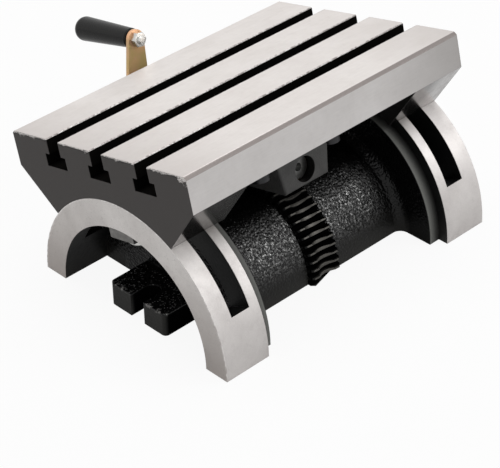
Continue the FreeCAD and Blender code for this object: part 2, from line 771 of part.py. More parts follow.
# Worm: a threaded sleeve pinned to its shaft
def make_worm():
    thread_half = size["thread_length"] / 2
    end = size["worm_length"] / 2
    bore = size["shaft_radius"] + size["fit_clearance"]
    body = turned("worm", [
        (-end, bore),
        (end, bore),
        (end, size["worm_hub_radius"]),
        (thread_half, size["worm_hub_radius"]),
        (thread_half, worm_outer_radius),
        (-thread_half, worm_outer_radius),
        (-thread_half, size["worm_hub_radius"]),
        (-end, size["worm_hub_radius"]),
    ])

    # Thread: the space between two turns, swept along the sleeve. With the table over the gash next
    # to the crown and the arm square to it, a thread stands in that gash. Since then the worm has
    # turned by its ratio times the rest of the tilt, which moves its thread along by as many pitches.
    turned_past = size["tilt_shown"] - size["gash_phase"]
    turns_made = (size["wheel_teeth"] * turned_past - size["arm_lean"]) / 360
    shift = turns_made - whole_below(turns_made)
    turns = whole_above(thread_half / thread_pitch) + 2
    start = thread_pitch * (shift - turns - 0.5)
    root_half = (thread_pitch / 4 + size["flank_clearance"]
                 - (size["worm_pitch_radius"] - worm_root_radius) * flank_slope)
    over = worm_outer_radius + size["root_clearance"]
    over_half = (thread_pitch / 4 + size["flank_clearance"]
                 + (over - size["worm_pitch_radius"]) * flank_slope)
    sketch = sketch_on(body, "XZ_Plane", "thread_space")
    draw_outline(sketch, [
        (start - root_half, -worm_root_radius),
        (start + root_half, -worm_root_radius),
        (start + over_half, -over),
        (start - over_half, -over),
    ])
    document.recompute()
    before = body.Shape.Volume
    thread = body.newObject("PartDesign::SubtractiveHelix", "thread")
    thread.Profile = sketch
    thread.ReferenceAxis = (sketch, ["H_Axis"])
    thread.Mode = "pitch-turns-angle"
    thread.setExpression("Pitch", thread_pitch.formula)
    thread.setExpression("Turns", (2 * turns).formula)
    document.recompute()
    if not body.Shape.Volume < before:
        raise RuntimeError("worm: the thread cuts nothing")

    # Cross hole for the pin, through the hub at the crank end
    pin_sketch = sketch_on(body, "XY_Plane", "pin_hole")
    draw_circle(pin_sketch, (pin_place(), as_size(0)), size["pin_radius"] + size["fit_clearance"])
    pocket(body, pin_sketch, "pin_hole_cut", size["worm_hub_radius"] * 2.2, symmetric=True)
    tilted(body, on_worm_axis(arm_turn()))
    return body


def pin_place():
    """How far along the worm its cross pin stands, in the hub at the crank end."""
    return -(size["thread_length"] / 2 + size["worm_length"] / 2) / 2


def make_worm_pin():
    body = new_body("worm_pin")
    sketch = sketch_on(body, "XY_Plane", "pin_outline")
    draw_circle(sketch, (pin_place(), as_size(0)), size["pin_radius"])
    pad(body, sketch, "pin", (size["worm_hub_radius"] - size["fit_clearance"]) * 2, symmetric=True)
    tilted(body, on_worm_axis(arm_turn()))
    return body


def make_shaft():
    """The worm's shaft, from its centre-drilled free end to the threaded crank end."""
    free_end = size["housing_length"] / 2 - size["shaft_recess"]
    shoulder = -crank_reach
    square_end = shoulder - size["arm_thickness"]
    nut_face = (shoulder - size["arm_thickness"] - size["crank_washer_thickness"]
                - size["crank_nut_height"])
    tip = nut_face - size["thread_overrun"]
    cone_depth = size["centre_hole_radius"] * math.sqrt(3)
    body = turned("worm_shaft", [
        (free_end, size["centre_hole_radius"]),
        (free_end, size["shaft_radius"] - size["edge_break"]),
        (free_end - size["edge_break"], size["shaft_radius"]),
        (shoulder, size["shaft_radius"]),
        (shoulder, size["square_corner_radius"]),
        (square_end, size["square_corner_radius"]),
        (square_end, size["crank_thread_radius"]),
        (tip + size["edge_break"], size["crank_thread_radius"]),
        (tip, size["crank_thread_radius"] - size["edge_break"]),
        (tip, as_size(0)),
        (free_end - cone_depth, as_size(0)),
    ])

    # Square that drives the crank arm: four flats cut on the round end
    flats = sketch_on(body, "YZ_Plane", "square_section", square_end)
    flat = size["square_flats"] / 2
    outside = size["shaft_radius"] * 1.2
    draw_rectangle(flats, -outside, outside, -outside, outside)
    draw_rectangle(flats, -flat, flat, -flat, flat)
    pocket(body, flats, "square", shoulder - square_end, reverse=True)

    pin_sketch = sketch_on(body, "XY_Plane", "pin_hole")
    draw_circle(pin_sketch, (pin_place(), as_size(0)), size["pin_radius"] + size["fit_clearance"])
    pocket(body, pin_sketch, "pin_hole_cut", size["shaft_radius"] * 2.2, symmetric=True)
    tilted(body, on_worm_axis(arm_turn()))
    return body


def make_bushes():
    """A plain bronze bush in each cheek."""
    inner = size["shaft_radius"] + size["running_clearance"]
    outer = bush_radius - size["fit_clearance"]
    for label, side in (("bush_crank_side", -1), ("bush_free_side", 1)):
        start = cheek_face * side
        end = (bush_end - size["fit_clearance"]) * side
        body = turned(label, [(start, inner), (end, inner), (end, outer), (start, outer)])
        tilted(body, on_worm_axis(0))


def make_thrust_washers():
    """Thrust washers between the worm's ends and the cheeks."""
    inner = size["shaft_radius"] + size["running_clearance"]
    outer = size["thrust_washer_radius"]
    for label, side in (("thrust_washer_crank_side", -1), ("thrust_washer_free_side", 1)):
        start = (size["worm_length"] / 2 + size["running_clearance"]) * side
        end = (cheek_face - size["running_clearance"]) * side
        body = turned(label, [(start, inner), (end, inner), (end, outer), (start, outer)])
        tilted(body, on_worm_axis(0))


# Crank: arm, nut, grip spindle and the loose grip
def make_arm():
    """A flat bar with round ends: a tapered outline laid tangent to both round ends."""
    body = new_body("crank_arm")
    low = size["arm_hub_radius"]
    high = size["arm_eye_radius"]
    reach = size["arm_length"]
    face = -crank_reach - size["arm_thickness"]
    # The two sides lean in by the difference of the radii over the length
    lean_sine = (low - high) / reach
    lean_cosine = square_root(1 - lean_sine * lean_sine)
    plate = sketch_on(body, "YZ_Plane", "arm_sides", face)
    draw_outline(plate, [
        (-low * lean_cosine, low * lean_sine),
        (low * lean_cosine, low * lean_sine),
        (high * lean_cosine, reach + high * lean_sine),
        (-high * lean_cosine, reach + high * lean_sine),
    ])
    pad(body, plate, "bar", size["arm_thickness"])
    for name, centre, radius in (("hub_end", as_size(0), low), ("eye_end", reach, high)):
        end_sketch = sketch_on(body, "YZ_Plane", f"{name}_outline", face)
        draw_circle(end_sketch, (as_size(0), centre), radius)
        pad(body, end_sketch, name, size["arm_thickness"])
    holes = sketch_on(body, "YZ_Plane", "arm_holes", face)
    half = size["square_flats"] / 2 + size["fit_clearance"]
    draw_rectangle(holes, -half, half, -half, half)
    draw_circle(holes, (as_size(0), reach), size["spindle_radius"] + size["fit_clearance"])
    pocket(body, holes, "holes", size["arm_thickness"], reverse=True)
    tilted(body, on_worm_axis(arm_turn()))
    return body


def arm_turn():
    """The arm's lean from square to the table, as a turn about the worm's axis."""
    return -float(size["arm_lean"])


def at_eye(turn=0):
    """The place of a piece on the grip's own axis."""
    up = FreeCAD.Placement(FreeCAD.Vector(0, 0, float(size["arm_length"])),
                           FreeCAD.Rotation(FreeCAD.Vector(1, 0, 0), turn))
    return on_worm_axis(arm_turn()).multiply(up)


def make_nut(label, start, flats, height, bore):
    """A hexagon nut along X from start, with its corners chamfered on both faces."""
    body = new_body(label)
    sketch = sketch_on(body, "YZ_Plane", f"{label}_hexagon", start)
    draw_hexagon(sketch, (as_size(0), as_size(0)), flats)
    pad(body, sketch, f"{label}_block", height)
    hole = sketch_on(body, "YZ_Plane", f"{label}_bore", start)
    draw_circle(hole, (as_size(0), as_size(0)), bore)
    pocket(body, hole, f"{label}_hole", height, reverse=True)
    corner = flats / math.sqrt(3)
    depth = (corner - flats / 2) * math.tan(math.radians(30))
    edge = sketch_on(body, "XZ_Plane", f"{label}_corner")
    outside = corner * 1.1
    outside_depth = (outside - flats / 2) * math.tan(math.radians(30))
    for face, inward in ((start, 1), (start + height, -1)):
        draw_outline(edge, [(face, flats / 2), (face + outside_depth * inward, outside),
                            (face - depth * inward, outside), (face - depth * inward, flats / 2)])
    groove = revolve("PartDesign::Groove", body, edge, f"{label}_chamfers", "H_Axis")
    body.Tip = groove
    return body


def make_crank_fastening():
    """Washer and nut that hold the arm on the shaft's square."""
    arm_back = -crank_reach - size["arm_thickness"]
    washer_back = arm_back - size["crank_washer_thickness"]
    bore = size["crank_thread_radius"] + size["fit_clearance"]
    washer = turned("crank_washer", [(arm_back, bore), (arm_back, size["crank_washer_radius"]),
                                     (washer_back, size["crank_washer_radius"]), (washer_back, bore)])
    tilted(washer, on_worm_axis(arm_turn()))
    nut = make_nut("crank_nut", washer_back - size["crank_nut_height"], size["crank_nut_flats"],
                   size["crank_nut_height"], bore)
    tilted(nut, on_worm_axis(arm_turn()))


def make_grip_parts():
    """Spindle screwed through the arm's eye, its nut, and the grip that turns on it."""
    arm_front = -crank_reach
    arm_back = arm_front - size["arm_thickness"]
    collar_back = arm_back - size["spindle_collar_thickness"]
    thread_end = arm_front + size["grip_nut_height"] + size["thread_overrun"]
    grip_start = collar_back - size["running_clearance"]
    grip_end = grip_start - size["grip_length"]
    bore_end = grip_end + size["grip_end_wall"]
    spindle_end = bore_end + size["thread_overrun"] / 2
    radius = size["spindle_radius"]
    spindle = turned("grip_spindle", [
        (thread_end, as_size(0)),
        (thread_end, radius - size["edge_break"]),
        (thread_end - size["edge_break"], radius),
        (arm_back, radius),
        (arm_back, size["spindle_collar_radius"]),
        (collar_back, size["spindle_collar_radius"]),
        (collar_back, radius),
        (spindle_end, radius),
        (spindle_end, as_size(0)),
    ])
    tilted(spindle, at_eye())
    nut = make_nut("grip_nut", arm_front, size["grip_nut_flats"], size["grip_nut_height"],
                   radius + size["fit_clearance"])
    tilted(nut, at_eye())

    bore = radius + size["running_clearance"]
    grip = turned("grip", [
        (grip_start, bore),
        (grip_start, size["grip_inner_radius"]),
        (grip_end, size["grip_outer_radius"]),
        (grip_end, as_size(0)),
        (bore_end, as_size(0)),
        (bore_end, bore),
    ])

    def is_outer_rim(edge):
        return isinstance(edge.Curve, Part.Circle) and near(edge.CenterOfMass.x, grip_end)

    def is_inner_rim(edge):
        return isinstance(edge.Curve, Part.Circle) and near(edge.Curve.Radius, size["grip_inner_radius"])

    blank = grip.Tip
    dome = dress("PartDesign::Fillet", grip, blank, "dome", edges_where(blank, is_outer_rim), size["grip_dome"])
    dress("PartDesign::Chamfer", grip, dome, "inner_rim", edges_where(dome, is_inner_rim), size["edge_break"])
    tilted(grip, at_eye())


# Clamps: a block under each arch, drawn up against the rim by a bolt into the saddle
def make_clamp(name, side):
    """A clamp block and its bolt, at one end of the table."""
    block_top = rim_bore - size["slide_clearance"]
    block_bottom = block_top - size["clamp_height"]
    centre = clamp_place * side
    # The block lies under the rim, clear of the web behind it
    block_back = (web_outer_face + size["clamp_web_gap"]) * side
    block_front = (half_length - size["clamp_end_setback"]) * side
    half_width = size["clamp_width"] / 2
    block = new_body(f"clamp_block_{name}")
    outline = sketch_on(block, "XY_Plane", "block_outline", block_bottom)
    draw_rectangle(outline, -half_width, half_width, block_back, block_front)
    pad(block, outline, "block", size["clamp_height"])
    crown = sketch_on(block, "XZ_Plane", "crown_section")
    draw_circle(crown, (as_size(0), as_size(0)), size["arch_radius"])
    draw_circle(crown, (as_size(0), as_size(0)), block_top)
    cut = pocket(block, crown, "crown", size["table_length"] * 1.1, symmetric=True)

    def is_bottom_edge(edge):
        return near(edge.CenterOfMass.z, block_bottom)

    broken = dress("PartDesign::Chamfer", block, cut, "broken_edges", edges_where(cut, is_bottom_edge),
                   size["edge_break"])
    block.Tip = broken
    hole = sketch_on(block, "XY_Plane", "bolt_hole_outline", block_bottom)
    draw_circle(hole, (as_size(0), centre), size["clamp_bolt_radius"] + size["clamp_hole_clearance"])
    pocket(block, hole, "bolt_hole", size["clamp_height"] * 1.1, reverse=True)
    tilted(block)

    bolt = new_body(f"clamp_bolt_{name}")
    bolt_top = size["arch_radius"] + size["clamp_bolt_bite"]
    head_bottom = block_bottom - size["clamp_head_height"]
    head = sketch_on(bolt, "XY_Plane", "head_outline", head_bottom)
    draw_hexagon(head, (as_size(0), as_size(0)), size["clamp_head_flats"])
    pad(bolt, head, "head", size["clamp_head_height"])
    shank = sketch_on(bolt, "XY_Plane", "shank_outline", block_bottom)
    draw_circle(shank, (as_size(0), as_size(0)), size["clamp_bolt_radius"])
    shaft = pad(bolt, shank, "shank", bolt_top - block_bottom)

    def is_tip(edge):
        return isinstance(edge.Curve, Part.Circle) and near(edge.CenterOfMass.z, bolt_top)

    dress("PartDesign::Chamfer", bolt, shaft, "tip", edges_where(shaft, is_tip), size["edge_break"])
    corner = size["clamp_head_flats"] / math.sqrt(3)
    outside = corner * 1.1
    slope = math.tan(math.radians(30))
    flat = size["clamp_head_flats"] / 2
    chamfer = sketch_on(bolt, "XZ_Plane", "head_chamfer")
    draw_outline(chamfer, [
        (flat, head_bottom),
        (outside, head_bottom + (outside - flat) * slope),
        (outside, head_bottom - size["edge_break"]),
        (flat, head_bottom - size["edge_break"]),
    ])
    groove = revolve("PartDesign::Groove", bolt, chamfer, "head_corners", "V_Axis")
    bolt.Tip = groove
    tilted(bolt, FreeCAD.Placement(FreeCAD.Vector(0, float(centre), 0), FreeCAD.Rotation()))


def make_all():
    """Every piece, in the order in which the table is put together."""
    make_base()
    make_table()
    make_housing()
    make_housing_screws()
    make_dowels()
    make_worm()
    make_worm_pin()
    make_shaft()
    make_bushes()
    make_thrust_washers()
    make_arm()
    make_crank_fastening()
    make_grip_parts()
    make_clamp("near", -1)
    make_clamp("far", 1)


def check_and_write():
    """Stop at any failed feature or bad solid, then write each piece to its own file."""
    document.recompute()
    for thing in document.Objects:
        for state in thing.State:
            if state in ("Invalid", "Error"):
                raise RuntimeError(f"{thing.Label} is {state}")
    os.makedirs("parts", exist_ok=True)
    bodies = [thing for thing in document.Objects if thing.TypeId == "PartDesign::Body"]
    for body in bodies:
        if body.Shape.isNull() or not body.Shape.isValid():
            raise RuntimeError(f"{body.Label} has a bad shape")
    for body in bodies:
        body.Shape.exportStep(f"parts/{body.Label}.step")
        solids = len(body.Shape.Solids)
        print(f"{body.Label}: {solids} solid, {body.Shape.Volume / 1000:.1f} cubic centimetres")


make_all()
check_and_write()
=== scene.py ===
# %% [markdown]
# # A tilting angle table for a milling machine
#
# The real thing is two heavy iron castings, a half-round base and a slotted
# table that rocks in it, with a worm drive under the table and a small crank.
# The measured solids come in as a fixed frame, so nothing here decides a size.
# This file gives every piece its finish, adds two short threads that only the
# eye needs, and sets up the camera, the lamps and the floor.

# %% Load the measured frame
import math

import bmesh
import bpy
import json
from mathutils import Matrix, Vector


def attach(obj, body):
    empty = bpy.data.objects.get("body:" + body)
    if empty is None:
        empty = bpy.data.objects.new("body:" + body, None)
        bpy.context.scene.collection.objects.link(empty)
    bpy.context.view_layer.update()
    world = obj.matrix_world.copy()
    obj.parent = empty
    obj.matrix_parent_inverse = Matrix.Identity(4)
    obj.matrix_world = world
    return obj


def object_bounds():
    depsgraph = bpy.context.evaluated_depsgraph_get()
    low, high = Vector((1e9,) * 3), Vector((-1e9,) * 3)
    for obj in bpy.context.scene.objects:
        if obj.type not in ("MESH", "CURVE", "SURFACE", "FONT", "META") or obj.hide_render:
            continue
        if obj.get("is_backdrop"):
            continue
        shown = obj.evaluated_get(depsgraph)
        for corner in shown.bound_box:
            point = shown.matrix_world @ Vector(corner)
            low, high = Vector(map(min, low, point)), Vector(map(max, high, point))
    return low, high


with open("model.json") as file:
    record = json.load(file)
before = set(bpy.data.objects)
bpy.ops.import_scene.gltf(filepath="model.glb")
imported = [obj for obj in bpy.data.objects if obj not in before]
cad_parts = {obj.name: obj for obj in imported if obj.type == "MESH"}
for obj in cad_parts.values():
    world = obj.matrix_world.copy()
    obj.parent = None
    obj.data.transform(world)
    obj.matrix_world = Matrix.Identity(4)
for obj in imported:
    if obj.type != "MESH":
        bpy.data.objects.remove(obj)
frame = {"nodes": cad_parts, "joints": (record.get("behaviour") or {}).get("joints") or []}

MM = 0.001
measured_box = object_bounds()
print("pieces in the frame:", len(frame["nodes"]))
print("box of the frame in metres:", [list(corner) for corner in measured_box])

# %% [markdown]
# ## Sizes that the finishes need
#
# A casting is one piece of iron, but only some of its faces are machined, and
# the rest keep their paint. A finish therefore has to know where a face lies.
# The distances could be typed in wherever a mask needs one. They are kept here
# instead, once, so that a mask in a material says which real face it means.

# %% Sizes of the two castings and the drive
TILT = math.radians(13.3)        # how far the table leans in the rest pose
HALF_LENGTH = 127 * MM
ARCH_RADIUS = 91 * MM            # outside of the two half-round arches
ARCH_BORE = 71.2 * MM
RIM_WIDTH = 38 * MM
WEB_RADIUS = 83 * MM
WEB_INNER_FACE = 79.6 * MM
BAND_RADIUS = 59.3 * MM          # outside of the toothed band
BAND_HALF_WIDTH = 14.5 * MM
BAND_FOOT = 46 * MM
LUG_TOP = 18 * MM
LUG_HALF_WIDTH = 27.5 * MM
LUG_START = 93 * MM              # where the lug comes out of the web, along the table
LUG_END = 122 * MM
TABLE_TOP = 126 * MM             # height of the ground top over the tilt axis
TABLE_HALF_WIDTH = 90 * MM
PLATE_UNDERSIDE = 100 * MM
GROOVE_FLOOR = 105.7 * MM
CHAMFER_SUM = 214 * MM           # distance across plus height, anywhere on the long chamfers
FLANK_SUM = -10.3 * MM           # distance across less height, anywhere on the flanks
GROOVE_PITCH = 46 * MM
NECK_HALF = 6.3 * MM
TEE_HALF = 10.8 * MM
TEE_CEILING = 115 * MM
WORM_HEIGHT = 70 * MM
THROAT_RADIUS = 13.2 * MM        # of the hollow crest that fits round the worm
HOUSING_HALF_LENGTH = 55 * MM
print("table", 2 * HALF_LENGTH / MM, "by", 2 * TABLE_HALF_WIDTH / MM, "mm")

# %% [markdown]
# ## The camera
#
# The photograph is taken from high up at the right-hand near corner with a
# long lens, so parallel edges hardly run together. A camera can be aimed by
# hand until it looks right. This one was solved from the corners of the table
# top and the feet of the arches, which gives its place and its three axes.

# %% Camera
CAMERA_PLACE = Vector((0.81125, -0.79143, 0.80405))
CAMERA_RIGHT = Vector((0.69645342, 0.71733123, -0.01971118))
CAMERA_UP = Vector((-0.39999556, 0.41086588, 0.81926356))
CAMERA_BACK = Vector((0.595782, -0.56269453, 0.57307825))
SENSOR = 36.0
PICTURE_WIDTH, PICTURE_HEIGHT = 500, 468
FOCAL_PIXELS = 1956.17
CENTRE_X, CENTRE_Y = 241.47, 231.32   # where the lens axis meets the picture

lens = bpy.data.cameras.new("camera")
lens.sensor_width = SENSOR
lens.lens = FOCAL_PIXELS * SENSOR / PICTURE_WIDTH
lens.shift_x = (PICTURE_WIDTH / 2 - CENTRE_X) / PICTURE_WIDTH
lens.shift_y = (CENTRE_Y - PICTURE_HEIGHT / 2) / PICTURE_WIDTH
camera = bpy.data.objects.new("camera", lens)
axes = Matrix((CAMERA_RIGHT, CAMERA_UP, CAMERA_BACK)).transposed()
camera.matrix_world = Matrix.Translation(CAMERA_PLACE) @ axes.to_4x4()
bpy.context.scene.collection.objects.link(camera)
bpy.context.scene.camera = camera
print("lens", round(lens.lens, 1), "mm, shift", round(lens.shift_x, 4), round(lens.shift_y, 4))

# %% [markdown]
# ## A small language for finishes
#
# A finish is a graph of nodes, and a graph built call by call is hard to read.
# Here each socket is wrapped in a class with Python's own operators, so that
# `1 - mask * 0.4` adds the two Math nodes that it needs. Everything else goes
# through one method, `node`, which takes a node type, its settings and what
# its sockets receive.

# %% Values of a graph
class Value:
    """A socket of a graph, with arithmetic."""

    def __init__(self, graph, socket):
        self.graph = graph
        self.socket = socket

    def math(self, operation, *inputs):
        return self.graph.node("ShaderNodeMath", {"operation": operation}, dict(enumerate(inputs)))

    def __add__(self, other):
        return self.math("ADD", self, other)

    def __sub__(self, other):
        return self.math("SUBTRACT", self, other)

    def __rsub__(self, other):
        return self.math("SUBTRACT", other, self)

    def __mul__(self, other):
        return self.math("MULTIPLY", self, other)

    def __pow__(self, other):
        return self.math("POWER", self, other)

    def __abs__(self):
        return self.math("ABSOLUTE", self)

    __radd__ = __add__
    __rmul__ = __mul__

    def least(self, other):
        return self.math("MINIMUM", self, other)

    def most(self, other):
        return self.math("MAXIMUM", self, other)

    def rise(self, start, end):
        """0 at start and 1 at end, a straight ramp between, flat beyond; start may be the higher."""
        inputs = {"Value": self, "From Min": start, "From Max": end}
        return self.graph.node("ShaderNodeMapRange", {}, inputs)


# %% A graph of nodes
class Graph:
    """The nodes of a material or of the world."""

    def __init__(self, tree):
        self.tree = tree

    def fill(self, socket, given):
        """Gives a socket a value, or a link to a Value."""
        if isinstance(given, Value):
            self.tree.links.new(given.socket, socket)
        elif socket.type == "RGBA":
            socket.default_value = (*given, 1.0)
        else:
            socket.default_value = given

    def node(self, kind, settings, inputs, output=0):
        """Adds a node and returns one of its outputs."""
        added = self.tree.nodes.new(kind)
        for name, setting in settings.items():
            setattr(added, name, setting)
        for name, given in inputs.items():
            self.fill(added.inputs[name], given)
        return Value(self, added.outputs[output])


# %% A finish
class Finish(Graph):
    """A material under construction. Its patterns lie in the piece's own coordinates."""

    def __init__(self, name, gloss=0.5):
        self.material = bpy.data.materials.new(name)
        self.material.use_nodes = True
        super().__init__(self.material.node_tree)
        self.shader = self.tree.nodes["Principled BSDF"]
        self.shader.inputs["Specular IOR Level"].default_value = gloss
        self.place = self.node("ShaderNodeTexCoord", {}, {}, "Object")
        self.x, self.y, self.z = (
            self.node("ShaderNodeSeparateXYZ", {}, {0: self.place}, axis) for axis in "XYZ"
        )

    def shade(self, **given):
        """Sets sockets of the shader: base_color=... sets Base Color."""
        for name, value in given.items():
            self.fill(self.shader.inputs[name.replace("_", " ").title()], value)
        return self.material

    def noise(self, size, detail=2.0, roughness=0.5, stretch=(1, 1, 1)):
        """Cloudy noise whose blobs are about `size` metres across, from 0 to 1."""
        place = self.node("ShaderNodeMapping", {}, {"Vector": self.place, "Scale": stretch})
        inputs = {"Vector": place, "Scale": 1 / size, "Detail": detail, "Roughness": roughness}
        return self.node("ShaderNodeTexNoise", {}, inputs)

    def grains(self, size):
        """Rounded grains packed side by side: 1 at the middle of each, falling towards its edge."""
        inputs = {"Vector": self.place, "Scale": 1 / size, "Smoothness": 0.5}
        return 1 - self.node("ShaderNodeTexVoronoi", {"feature": "SMOOTH_F1"}, inputs, "Distance")

    def mix(self, share, first, second):
        """A colour between two: all first at share 0, all second at 1."""
        inputs = {"Factor": share, 6: first, 7: second}
        return self.node("ShaderNodeMix", {"data_type": "RGBA"}, inputs, 2)

    def bump(self, height, depth, normal):
        """A normal from a height map; depth is in metres for a height from 0 to 1."""
        inputs = {"Height": height, "Distance": depth, "Normal": normal}
        return self.node("ShaderNodeBump", {}, inputs)

    def lay_over(self, share, second):
        """Lays a second shader over a share of the surface."""
        first = Value(self, self.shader.outputs[0])
        mixed = self.node("ShaderNodeMixShader", {}, {0: share, 1: first, 2: second})
        self.fill(self.tree.nodes["Material Output"].inputs["Surface"], mixed)

    def matte(self, share, colour):
        """Takes all gloss from a share of the surface, which then looks as dark as its colour."""
        inputs = {"Base Color": colour, "Roughness": 1.0, "Specular IOR Level": 0.0}
        self.lay_over(share, self.node("ShaderNodeBsdfPrincipled", {}, inputs))

    def soft_edges(self, radius):
        """A normal that turns over each sharp edge as a small round would."""
        return self.node("ShaderNodeBevel", {"samples": 6}, {"Radius": radius})


# %% [markdown]
# ## Ground iron
#
# The rims of the arches, their end faces and the table's top are ground. Such
# a face isn't a mirror: the wheel leaves hair-fine marks, and oil and handling
# leave cloudy stains. Three noises give that: wide stains, small blots and the
# fine marks. They move the colour and the roughness together, as a stain does.

# %% Ground iron
WEAR_ROUGHNESS = 0.14            # how much rougher a fully worn place is
ALONG_TABLE = (1, 0.06, 1)       # draws the marks out along the table


def ground_iron(finish, pale, dull, stretch=(1, 1, 1)):
    """Colour of a ground face between a pale and a dull shade, and its wear from 0 to 1."""
    stains = finish.noise(26 * MM, 3.0, 0.6).rise(0.34, 0.68)
    blots = finish.noise(6 * MM, 3.0, 0.65).rise(0.52, 0.78)
    marks = finish.noise(0.9 * MM, 2.0, 0.6, stretch).rise(0.3, 0.7)
    wear = stains * 0.5 + blots * 0.25 + marks * 0.25
    return finish.mix(wear, pale, dull), wear


# %% [markdown]
# ## The base casting
#
# The base is cast in sand, so its trunk keeps the print of the grains under a
# coat of black gloss paint. The sparks of light on the grains, in a band round the
# trunk and on the lug tops, are painted highlights: pale metallic flecks. Near the
# floor the skin is smoother, and its paint is made lighter as a painted reflection
# of the white floor; the lug fronts get the same lighter paint as painted light.
# The webs' edges carry a painted sheen. The arches' rims and end faces are ground
# bright to carry the table, and the tooth crests are worn bare by the worm. The
# rims' tops under the table and the bottoms of the end faces are darkened as
# painted shade. The lug sides, the gaps between the teeth and the webs' inner faces
# get near-black colour and a second shader without gloss, which is painted shade.
# The iron could be cut into several pieces to give each its finish. Masks on the
# distance from the tilt axis keep the casting one piece instead.

# %% Colours of the base
PAINT_BLACK = (0.003, 0.003, 0.003)
# painted light: paint made lighter near the floor, a reflection of the white floor, and on the lug fronts
PAINT_WITH_PAINTED_LIGHT = (0.017, 0.0165, 0.0150)
# painted sheen on the webs' edges
WEB_EDGE_SHEEN = (0.19, 0.192, 0.18)
PAINT_CHIP = (0.30, 0.29, 0.28)
# painted highlights: sparks on the grains
PAINTED_SPARK = (0.36, 0.36, 0.355)
SHADE_BLACK = (0.0025, 0.0025, 0.0025)  # near black of painted shade, where nothing shines at all
RIM_PALE = (0.64, 0.615, 0.60)
RIM_DULL = (0.49, 0.465, 0.455)
# painted shade on the rims' tops under the table
RIM_SHADE = (0.13, 0.12, 0.11)
ARCH_PALE = (0.70, 0.675, 0.655)
ARCH_DULL = (0.53, 0.505, 0.49)
# painted shade at the bottom of the arches' end faces
ARCH_SHADE_LOW = (0.41, 0.375, 0.355)
ARCH_PORE = (0.16, 0.145, 0.135)
ARCH_ARRIS = (0.78, 0.76, 0.74)
CREST_BARE = (0.115, 0.11, 0.10)
GRAIN = 1.8 * MM                 # lumps of the sand that the mould was made of
SPECK = 1.5 * MM                 # size of the painted highlights, sparks of light on the grains


# %% Zones of the base
def base_zones(finish):
    """Masks for the base's kinds of surface, from 0 to 1."""
    radius = (finish.x * finish.x + finish.z * finish.z) ** 0.5
    along = abs(finish.y)
    side = abs(finish.x)
    beyond_web = along.rise(HALF_LENGTH - RIM_WIDTH - 0.2 * MM, HALF_LENGTH - RIM_WIDTH)
    in_arch = radius.rise(ARCH_BORE - 0.6 * MM, ARCH_BORE - 0.2 * MM) * beyond_web
    throat = WORM_HEIGHT - (THROAT_RADIUS ** 2 - finish.y * finish.y).most(0.0) ** 0.5
    crest = throat.least(BAND_RADIUS)
    in_band = along.rise(BAND_HALF_WIDTH + 0.1 * MM, BAND_HALF_WIDTH - 0.1 * MM)
    in_band = in_band * radius.rise(BAND_FOOT, BAND_FOOT + 1 * MM)
    on_lug = along.rise(LUG_START, LUG_START + 1 * MM)
    on_lug = on_lug * side.rise(LUG_HALF_WIDTH + 1 * MM, LUG_HALF_WIDTH)
    lug_front = on_lug * along.rise(LUG_END - 2.5 * MM, LUG_END)
    lug_wall = finish.z.rise(LUG_TOP - 0.4 * MM, LUG_TOP - 1.6 * MM)
    outside = radius.rise(48 * MM, 52 * MM)   # the trunk's skin, not its hollow inside
    web_face = abs(along - WEB_INNER_FACE).rise(0.5 * MM, 0.2 * MM)
    # the band round the trunk that carries painted highlights
    sparkle_band = finish.z.rise(12 * MM, 34 * MM) * finish.z.rise(51 * MM, 41 * MM)
    return {
        "rim": radius.rise(ARCH_RADIUS - 0.4 * MM, ARCH_RADIUS - 0.1 * MM),
        "end": along.rise(HALF_LENGTH - 0.3 * MM, HALF_LENGTH - 0.05 * MM),
        "arch": in_arch,
        # the webs' edges carry a painted sheen, which fades out towards the rim
        "web edge": radius.rise(WEB_RADIUS - 0.5 * MM, WEB_RADIUS - 0.2 * MM) * (1 - beyond_web),
        "web edge shade": along.rise(WEB_INNER_FACE, HALF_LENGTH - RIM_WIDTH),
        "band": in_band,
        "crest": in_band * (radius - crest).rise(-0.5 * MM, -0.1 * MM),
        "gash": in_band * (radius - crest).rise(-1.0 * MM, -1.8 * MM),
        "web face": web_face * radius.rise(59 * MM, 64 * MM),
        "low": finish.z.rise(22 * MM, 3 * MM) * (1 - on_lug) * outside,
        "sparkle_band": sparkle_band * along.rise(72 * MM, 54 * MM),
        "lug": on_lug,
        "lug front": lug_front * lug_wall,
        "lug wall": on_lug * lug_wall,
        "lug chips": lug_front * finish.z.rise(LUG_TOP - 2.6 * MM, LUG_TOP - 0.8 * MM),
        "arris": radius.rise(ARCH_RADIUS - 1.3 * MM, ARCH_RADIUS - 0.3 * MM),
        # the rims' tops under the table, darkened as painted shade
        "painted_shade": finish.z.rise(73 * MM, 82 * MM) * along.rise(106 * MM, 103 * MM),
    }


